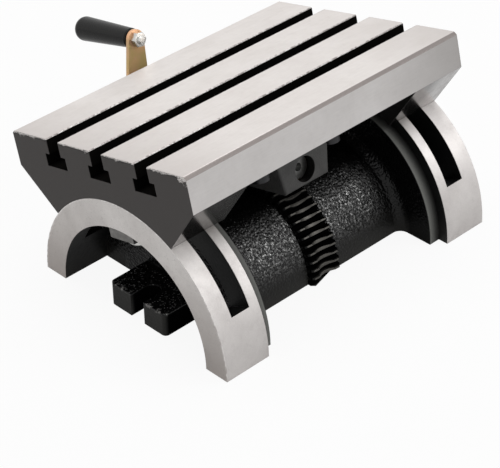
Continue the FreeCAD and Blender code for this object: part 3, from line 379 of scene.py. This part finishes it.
# %% Finish of the base
def base_finish():
    finish = Finish("black_casting_with_ground_rims", gloss=0.2)
    zone = base_zones(finish)
    grains = finish.grains(GRAIN)
    lumps = finish.noise(4.5 * MM, 3.0, 0.65)
    smooth = zone["low"].most(zone["lug wall"]).most(zone["arch"])
    smooth = smooth.most(zone["web edge"]).most(zone["band"])
    sandy = 1 - smooth * 0.88
    # painted light: lighter paint near the floor and on the lug fronts
    paint = finish.mix(zone["low"].most(zone["lug front"]), PAINT_BLACK, PAINT_WITH_PAINTED_LIGHT)
    specks = finish.noise(SPECK, 3.0, 0.7)
    # painted highlights: pale metallic sparks on the grains in a band round the trunk and on the lug tops
    painted_sparks = specks.rise(0.46, 0.64) * (lumps.rise(0.36, 0.6) * 0.7 + 0.3) * zone["sparkle_band"]
    painted_lug_sparks = grains.rise(0.66, 0.8) * lumps.rise(0.45, 0.51) * zone["lug"]
    painted_sparks = painted_sparks.most(painted_lug_sparks) * (1 - smooth)
    paint = finish.mix(painted_sparks, paint, PAINTED_SPARK)
    # painted sheen on the webs' edges
    paint = finish.mix(zone["web edge"] * (1 - zone["web edge shade"]), paint, WEB_EDGE_SHEEN)
    chips = zone["lug chips"] * lumps.rise(0.52, 0.6)
    paint = finish.mix(chips, paint, PAINT_CHIP)
    rim, wear = ground_iron(finish, RIM_PALE, RIM_DULL)
    # painted shade on the rims' tops under the table
    rim = finish.mix(zone["painted_shade"] * 0.75, rim, RIM_SHADE)
    arch = ground_iron(finish, ARCH_PALE, ARCH_DULL)[0]
    # painted shade, darker towards the bottom of the arch end faces
    arch = finish.mix(finish.z.rise(75 * MM, 10 * MM) * 0.85, arch, ARCH_SHADE_LOW)
    pores = finish.noise(1.1 * MM, 3.0, 0.7)
    arch = finish.mix(pores.rise(0.63, 0.7) * 0.5, arch, ARCH_PORE)
    arch = finish.mix(zone["arris"] * lumps.rise(0.45, 0.55), arch, ARCH_ARRIS)
    ground = zone["rim"].most(zone["end"])
    colour = finish.mix(zone["end"], finish.mix(zone["rim"], paint, rim), arch)
    colour = finish.mix(zone["crest"] * 0.85, colour, CREST_BARE)
    paint_roughness = 0.17 + lumps * 0.12 + smooth * 0.25
    rim_roughness = 0.50 + wear * WEAR_ROUGHNESS
    sand_print = (grains * 0.65 + lumps * 0.9) * sandy * (1 - ground)
    finish.shade(
        base_color=colour,
        metallic=(ground * 0.92).most(zone["crest"] * 0.85).most(painted_sparks * 0.8),
        roughness=ground * rim_roughness + (1 - ground) * paint_roughness,
        normal=finish.bump(sand_print, 0.95 * MM, finish.soft_edges(0.5 * MM)),
    )
    # painted shade: near-black colour without gloss on the lug sides, in the gaps between the teeth and on
    # the webs' inner faces
    lug_side = zone["lug wall"] * (1 - zone["lug front"])
    finish.matte(lug_side.most(zone["gash"]).most(zone["web face"] * 0.7), SHADE_BLACK)
    return finish.material


# %% [markdown]
# ## The table casting
#
# The slotted top and the long sides are ground bright; the top is darker towards its
# ends, and the long sides darker towards the far end as painted shade. The two end
# faces are painted dark grey, and the milling of the slots broke small flakes of
# paint off along the top edge, most of all at the free corner. The slots are
# coloured near black, without gloss, as painted shade. The sloping flanks under the
# plate are polished like mirrors where they were scraped to pass the arches; most
# of each flank is darkened as painted shade, a dark reflection of the black base.
# All of this is again one casting, masked by where a face lies in the table's own
# leaning directions.

# %% Colours of the table
TOP_PALE = (0.77, 0.73, 0.705)
TOP_DULL = (0.65, 0.61, 0.585)
# the top darker towards its ends
TOP_ENDS = (0.54, 0.50, 0.48)
SIDE_PALE = (0.60, 0.58, 0.57)
SIDE_DULL = (0.50, 0.48, 0.47)
# painted shade: the long sides darker towards the far end
SIDE_FAR_SHADE = (0.30, 0.285, 0.275)
CHAMFER_GREY = (0.24, 0.215, 0.205)
FLANK_STEEL = (0.38, 0.37, 0.365)
FLANK_STAIN = (0.20, 0.185, 0.175)
# painted shade, a dark reflection of the black base in the polished flanks
FLANK_SHADE = (0.05, 0.045, 0.042)
END_GREY = (0.058, 0.0525, 0.050)
# black of the painted underside, and painted shade in the slots
BLACK_PAINT_AND_SHADE = (0.005, 0.0046, 0.0042)
FLAKE_PALE = (0.62, 0.59, 0.57)
FLAKE_PORE = (0.10, 0.09, 0.085)


# %% Zones of the table
def table_zones(finish):
    """Masks for the table's kinds of surface, from 0 to 1."""
    across = finish.x * math.cos(TILT) + finish.z * math.sin(TILT)
    up = finish.z * math.cos(TILT) - finish.x * math.sin(TILT)
    side = abs(across)
    off_groove = side.least(abs(side - GROOVE_PITCH))
    end = abs(finish.y).rise(HALF_LENGTH - 0.3 * MM, HALF_LENGTH - 0.1 * MM)
    neck = off_groove.rise(NECK_HALF + 0.4 * MM, NECK_HALF + 0.1 * MM)
    neck = neck * up.rise(TEE_CEILING - 1.0 * MM, TEE_CEILING - 0.8 * MM)
    tee = off_groove.rise(TEE_HALF + 0.4 * MM, TEE_HALF + 0.1 * MM)
    tee = tee * up.rise(TEE_CEILING + 0.2 * MM, TEE_CEILING)
    over_floor = up.rise(GROOVE_FLOOR - 0.3 * MM, GROOVE_FLOOR - 0.1 * MM)
    below_top = up.rise(TABLE_TOP - 0.5 * MM, TABLE_TOP - 0.8 * MM)
    top = up.rise(TABLE_TOP - 0.3 * MM, TABLE_TOP - 0.1 * MM)
    lip = off_groove.rise(NECK_HALF + 1.5 * MM, NECK_HALF + 0.4 * MM)
    under = up.rise(PLATE_UNDERSIDE + 0.1 * MM, PLATE_UNDERSIDE - 0.1 * MM)
    return {
        "end": end,
        "top": top,
        "groove": neck.most(tee) * over_floor * below_top * (1 - end),
        "lip": lip * up.rise(TABLE_TOP - 0.8 * MM, TABLE_TOP - 0.4 * MM),
        "chamfer": (side + up).rise(CHAMFER_SUM - 0.5 * MM, CHAMFER_SUM - 0.2 * MM),
        # the top darker towards its ends
        "darker_ends": finish.y.rise(-70 * MM, -130 * MM).most(
            finish.y.rise(60 * MM, 130 * MM) * across.rise(-20 * MM, 80 * MM)),
        "towards far end": finish.y.rise(40 * MM, 170 * MM),
        "under": under,
        "flank": under * (side - up).rise(FLANK_SUM - 0.4 * MM, FLANK_SUM),
        # most of each flank, darkened as painted shade
        "painted_shade": finish.y.rise(113 * MM, 97 * MM),
        "depth": TABLE_TOP - up,
        "corner": side.rise(80 * MM, 89 * MM) * (across.rise(-10 * MM, 10 * MM) * 0.8 + 0.2),
    }


# %% Finish of the table
def table_finish():
    finish = Finish("ground_table_with_grey_ends", gloss=0.25)
    zone = table_zones(finish)
    ragged = finish.noise(2.6 * MM, 4.0, 0.75)
    coarse = finish.noise(7 * MM, 2.0, 0.5)
    pores = finish.noise(0.8 * MM, 2.0, 0.7)
    # how many millimetres down from the top edge the paint has come off the end face
    flake_reach = ragged.rise(0.40, 0.66) * coarse.rise(0.42, 0.62) * 2.4
    flake_reach = flake_reach + ragged.rise(0.30, 0.46) * 0.9
    flake_reach = flake_reach + zone["corner"] * ragged.rise(0.34, 0.56) * 5.5
    flake_edge = flake_reach * MM - zone["depth"]
    flaked = flake_edge.rise(0.0, 0.15 * MM)
    painted = zone["end"] * (1 - flaked)
    top, wear = ground_iron(finish, TOP_PALE, TOP_DULL, ALONG_TABLE)
    sides = ground_iron(finish, SIDE_PALE, SIDE_DULL, ALONG_TABLE)[0]
    roughness = 0.34 + wear * WEAR_ROUGHNESS
    # the top darker towards its ends
    top = finish.mix(zone["darker_ends"] * 0.7, top, TOP_ENDS)
    # painted shade: the sides darker towards the far end
    sides = finish.mix(zone["towards far end"], sides, SIDE_FAR_SHADE)
    colour = finish.mix(zone["top"], sides, top)
    colour = finish.mix(zone["chamfer"], colour, CHAMFER_GREY)
    colour = finish.mix(zone["lip"] * ragged.rise(0.46, 0.56), colour, CHAMFER_GREY)
    colour = finish.mix(zone["under"], colour, BLACK_PAINT_AND_SHADE)
    flank = finish.mix(coarse.rise(0.45, 0.6) * ragged.rise(0.4, 0.6), FLANK_STEEL, FLANK_STAIN)
    # painted shade: most of the flank darkened, a dark reflection of the black base
    flank = finish.mix(zone["painted_shade"] * 0.8, flank, FLANK_SHADE)
    colour = finish.mix(zone["flank"], colour, flank)
    flakes = finish.mix(pores.rise(0.5, 0.6), FLAKE_PALE, FLAKE_PORE)
    colour = finish.mix(zone["end"] * flaked, colour, flakes)
    end_paint = finish.mix(flake_edge.rise(-0.9 * MM, -0.3 * MM) * 0.8, END_GREY, BLACK_PAINT_AND_SHADE)
    colour = finish.mix(painted, colour, end_paint)
    # painted shade: the slots near black
    colour = finish.mix(zone["groove"], colour, BLACK_PAINT_AND_SHADE)
    black = zone["groove"].most(zone["under"] * (1 - zone["flank"])).most(painted)
    rough = roughness * (1 - zone["flank"]) + zone["flank"] * 0.24
    rough = (rough * (1 - painted) + painted * (0.48 + pores * 0.16)).most(zone["groove"] * 0.8)
    broken = zone["end"] * flaked
    relief = pores * (painted * 0.35 + broken * 2.0 + 0.06) + broken * ragged
    finish.shade(
        base_color=colour,
        metallic=(1 - black) * (zone["flank"] * 0.08 + 0.92),
        roughness=rough,
        normal=finish.bump(relief * (1 - zone["flank"]), 0.16 * MM, finish.soft_edges(0.4 * MM)),
    )
    # painted shade: no gloss in the slots
    finish.matte(zone["groove"], BLACK_PAINT_AND_SHADE)
    return finish.material


# %% [markdown]
# ## The worm housing
#
# The housing is a small grey-painted casting. Its ends are faced off and then
# painted. The bore through it, seen at the end of the shaft, is coloured near
# black as painted shade inside the hole. A second material for the bore would need
# the mesh to be split, so a mask on the distance from the worm's axis darkens it.

# %% Finish of the housing
def housing_finish():
    finish = Finish("grey_housing_paint", gloss=0.2)
    across = finish.x * math.cos(TILT) + finish.z * math.sin(TILT)
    up = finish.z * math.cos(TILT) - finish.x * math.sin(TILT) - WORM_HEIGHT
    from_axis = (finish.y * finish.y + up * up) ** 0.5
    bore = from_axis.rise(15 * MM, 14 * MM) * abs(across).rise(
        HOUSING_HALF_LENGTH - 0.2 * MM, HOUSING_HALF_LENGTH - 0.8 * MM)
    blisters = finish.noise(1.3 * MM, 3.0, 0.7)
    clouds = finish.noise(14 * MM, 2.0, 0.5)
    paint = finish.mix(clouds.rise(0.35, 0.65), (0.058, 0.057, 0.056), (0.080, 0.079, 0.076))
    finish.shade(
        # painted shade: the bore near black
        base_color=finish.mix(bore, paint, (0.003, 0.003, 0.003)),
        roughness=0.36 + blisters * 0.2,
        normal=finish.bump(blisters, 0.35 * MM, finish.soft_edges(0.5 * MM)),
    )
    return finish.material


# %% [markdown]
# ## The small parts
#
# Turned, plated and moulded parts each have one finish all over, so one helper
# makes them from two shades of their colour and a roughness. The zinc plate on
# the crank arm is the odd one: it shimmers from gold to rose and olive, because
# its yellow film varies in thickness.

# %% Plain finishes with fine marks
def plain_finish(name, shade, other, metallic, roughness, gloss=0.5, sheen=0.0):
    """One finish all over, clouded between two shades of a colour."""
    finish = Finish(name, gloss)
    finish.shader.inputs["Sheen Weight"].default_value = sheen
    finish.shader.inputs["Sheen Roughness"].default_value = 0.2
    clouds = finish.noise(8 * MM, 3.0, 0.6)
    marks = finish.noise(1 * MM, 2.0, 0.6)
    finish.shade(
        base_color=finish.mix(clouds.rise(0.35, 0.65), shade, other),
        metallic=metallic,
        roughness=roughness + marks * 0.12,
        normal=finish.bump(marks, 0.01 * MM, finish.soft_edges(0.25 * MM)),
    )
    return finish.material


# %% Yellow zinc on the crank arm
def yellow_zinc_finish():
    finish = Finish("yellow_zinc")
    bands = finish.noise(22 * MM, 1.5, 0.5)
    patches = finish.noise(9 * MM, 3.0, 0.6)
    marks = finish.noise(0.8 * MM, 2.0, 0.6)
    colour = finish.mix(bands.rise(0.4, 0.62), (0.84, 0.47, 0.26), (0.58, 0.43, 0.17))
    colour = finish.mix(patches.rise(0.5, 0.75) * 0.7, colour, (0.72, 0.42, 0.30))
    finish.shade(
        base_color=colour,
        metallic=0.55,
        roughness=0.26 + marks * 0.14,
        normal=finish.bump(marks, 0.01 * MM, finish.soft_edges(0.3 * MM)),
    )
    return finish.material


# %% Every node's finish
finishes = {
    "base_casting": base_finish(),
    "table_casting": table_finish(),
    "worm_housing": housing_finish(),
    "housing_screws": plain_finish(
        "blackened_steel", (0.022, 0.022, 0.024), (0.035, 0.034, 0.036), 0.4, 0.36),
    "dowel_steel": plain_finish("ground_steel", (0.5, 0.5, 0.5), (0.42, 0.42, 0.42), 1.0, 0.25),
    "worm": plain_finish("oiled_steel", (0.24, 0.23, 0.21), (0.15, 0.14, 0.13), 1.0, 0.25),
    "worm_shaft": plain_finish("turned_steel", (0.20, 0.20, 0.195), (0.12, 0.12, 0.115), 1.0, 0.3),
    "bronze": plain_finish("bronze", (0.22, 0.14, 0.06), (0.13, 0.08, 0.035), 1.0, 0.4),
    "crank_arm": yellow_zinc_finish(),
    "bright_zinc": plain_finish("bright_zinc", (0.70, 0.69, 0.66), (0.56, 0.56, 0.54), 1.0, 0.2),
    "grip": plain_finish(
        "black_plastic", (0.008, 0.008, 0.0075), (0.011, 0.0105, 0.010), 0.0, 0.20, gloss=0.2, sheen=0.35),
    "clamp": plain_finish("clamp_steel", (0.22, 0.215, 0.205), (0.14, 0.135, 0.13), 1.0, 0.4),
}
GIVEN = {
    "housing_dowels": "dowel_steel", "worm_pin": "dowel_steel",
    "bush_crank_side": "bronze", "bush_free_side": "bronze",
    "thrust_washer_crank_side": "bronze", "thrust_washer_free_side": "bronze",
    "crank_washer": "bright_zinc", "crank_nut": "bright_zinc",
    "grip_spindle": "bright_zinc", "grip_nut": "bright_zinc",
    "clamp_block_near": "clamp", "clamp_block_far": "clamp",
    "clamp_bolt_near": "bright_zinc", "clamp_bolt_far": "bright_zinc",
}
for name, piece in frame["nodes"].items():
    piece.data.materials.clear()
    piece.data.materials.append(finishes[GIVEN.get(name, name)])
print("finishes:", len(finishes), "on", len(frame["nodes"]), "pieces")

# %% [markdown]
# ## Objects of our own
#
# The threads and the floor are built here, in a mesh under construction. Such a
# mesh could be modelled round its own middle and the object moved into place.
# The points are put where they belong instead, so that every object stays
# unmoved at the origin, and its finish counts from the same zero as the frame.

# %% Objects from finished meshes
def finished_piece(name, work, material):
    """An object at the origin from a mesh that is already in its place."""
    mesh = bpy.data.meshes.new(name)
    work.to_mesh(mesh)
    work.free()
    mesh.materials.append(material)
    piece = bpy.data.objects.new(name, mesh)
    bpy.context.scene.collection.objects.link(piece)
    return piece


# %% [markdown]
# ## Threads
#
# Where the crank's shaft and the grip's spindle come through their nuts, a turn
# or two of thread shows. The solids leave it out, because it would only slow
# them down. A thread could be drawn by a bump in the finish, but its silhouette
# would stay smooth. Here one small triangle is spun round the axis and moved a
# little along it at each step, which sweeps a real helical ridge.

# %% A helical ridge on a round end
THREAD_STEPS = 24                # steps in one turn
THREAD_RISE = 0.3                # these three are shares of the pitch: how far the ridge stands out,
THREAD_SINK = 0.15               # how far its foot goes into the metal
THREAD_HALF = 0.35               # and half its width at the foot
END_BREAK = 0.8 * MM             # the end of a screw is bevelled by this much


def thread(name, node, joint_name, side, radius, pitch, turns):
    """A thread at the end of a round node, which is the end that the joint's axis points to, or
    the other end where side is -1."""
    joint = next(joint for joint in frame["joints"] if joint["name"] == joint_name)
    place = Vector(joint["pos_m"])
    along = Vector(joint["axis"]).normalized() * side
    reach = max((corner.co - place).dot(along) for corner in frame["nodes"][node].data.vertices)
    start = place + along * (reach - END_BREAK - pitch * THREAD_RISE)
    out = along.orthogonal().normalized()
    foot, crest = out * (radius - THREAD_SINK * pitch), out * (radius + THREAD_RISE * pitch)
    work = bmesh.new()
    half = along * pitch * THREAD_HALF
    corners = [work.verts.new(start + offset) for offset in (foot - half, foot + half, crest)]
    work.faces.new(corners)
    bmesh.ops.spin(
        work, geom=work.verts[:] + work.edges[:] + work.faces[:], cent=place, axis=-along,
        dvec=along * (-pitch / THREAD_STEPS), angle=math.tau * turns, steps=round(THREAD_STEPS * turns),
    )
    bmesh.ops.recalc_face_normals(work, faces=work.faces)
    ridge = finished_piece(name, work, finishes[GIVEN.get(node, node)])
    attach(ridge, "crankshaft")
    print(name, "has", len(ridge.data.polygons), "faces")


thread("crank_thread", "worm_shaft", "crank_turn", 1, 5 * MM, 1.5 * MM, 0.7)
thread("spindle_thread", "grip_spindle", "grip_spin", -1, 3 * MM, 1 * MM, 1.1)

# %% [markdown]
# ## Floor and light
#
# The photograph stands on plain white with next to no shadow, as a lightbox
# gives. A brighter lamp would wash the iron out. Instead the floor and the
# world show white to the camera, in mirrors and through glass, and the lamps
# stay at the level where a colour comes out as it is written. The floor keeps
# a share of its own shading, so that the shadow under the base remains.

# %% Rays that see the backdrop itself
WHITE = (1.0, 1.0, 1.0)


def ray_kind(graph, kind):
    """1 for rays of a kind, such as those from the camera, and 0 for the others."""
    return graph.node("ShaderNodeLightPath", {}, {}, f"Is {kind} Ray")


# %% Floor
FLOOR_HALF = 4.0
GLOW_SEEN = 0.92                 # share of plain white; the rest shows the shadow
GLOW_MIRRORED = 0.25

work = bmesh.new()
bmesh.ops.create_grid(work, x_segments=1, y_segments=1, size=FLOOR_HALF)
paper = Finish("white_paper")
floor = finished_piece("floor", work, paper.material)
floor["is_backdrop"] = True
paper.shade(base_color=(0.88, 0.88, 0.88), roughness=0.9)
glow = paper.node("ShaderNodeEmission", {}, {"Color": WHITE, "Strength": 1.0})
share = ray_kind(paper, "Camera").most(ray_kind(paper, "Transmission")) * GLOW_SEEN
share = share.most(ray_kind(paper, "Glossy") * GLOW_MIRRORED)
paper.lay_over(share, glow)
print("floor", 2 * FLOOR_HALF, "m across")

# %% World
WORLD_LEVEL = 0.42
world = bpy.data.worlds.new("studio")
world.use_nodes = True
bpy.context.scene.world = world
sky = Graph(world.node_tree)
seen = ray_kind(sky, "Camera").most(ray_kind(sky, "Glossy")).most(ray_kind(sky, "Transmission"))
background = sky.tree.nodes["Background"]
sky.fill(background.inputs["Color"], WHITE)
sky.fill(background.inputs["Strength"], seen * (1 - WORLD_LEVEL) + WORLD_LEVEL)


# %% Lamps
def lamp(name, place, size, power):
    """A square soft box at a place, facing the middle of the table."""
    light = bpy.data.lights.new(name, "AREA")
    light.shape = "SQUARE"
    light.size = size
    light.energy = power
    holder = bpy.data.objects.new(name, light)
    facing = (Vector((0, 0, 0.06)) - Vector(place)).to_track_quat("-Z", "Y")
    holder.matrix_world = Matrix.Translation(place) @ facing.to_matrix().to_4x4()
    bpy.context.scene.collection.objects.link(holder)


lamp("key", (1.22, 1.09, 1.12), 0.85, 7.8)
lamp("top", (-0.3, 0.1, 1.5), 1.0, 10)
view = bpy.context.scene.view_settings
view.view_transform = "Standard"

# %% [markdown]
# ## The finished box
#
# The box of the finished model is printed, as the box of the frame was at the
# start. The two can then be compared, because a dressed part must not outgrow its solids.

# %% Sizes and finish
dressed_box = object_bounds()
[[list(corner) for corner in box] for box in (measured_box, dressed_box)]
print("dressed box:", [list(corner) for corner in dressed_box])
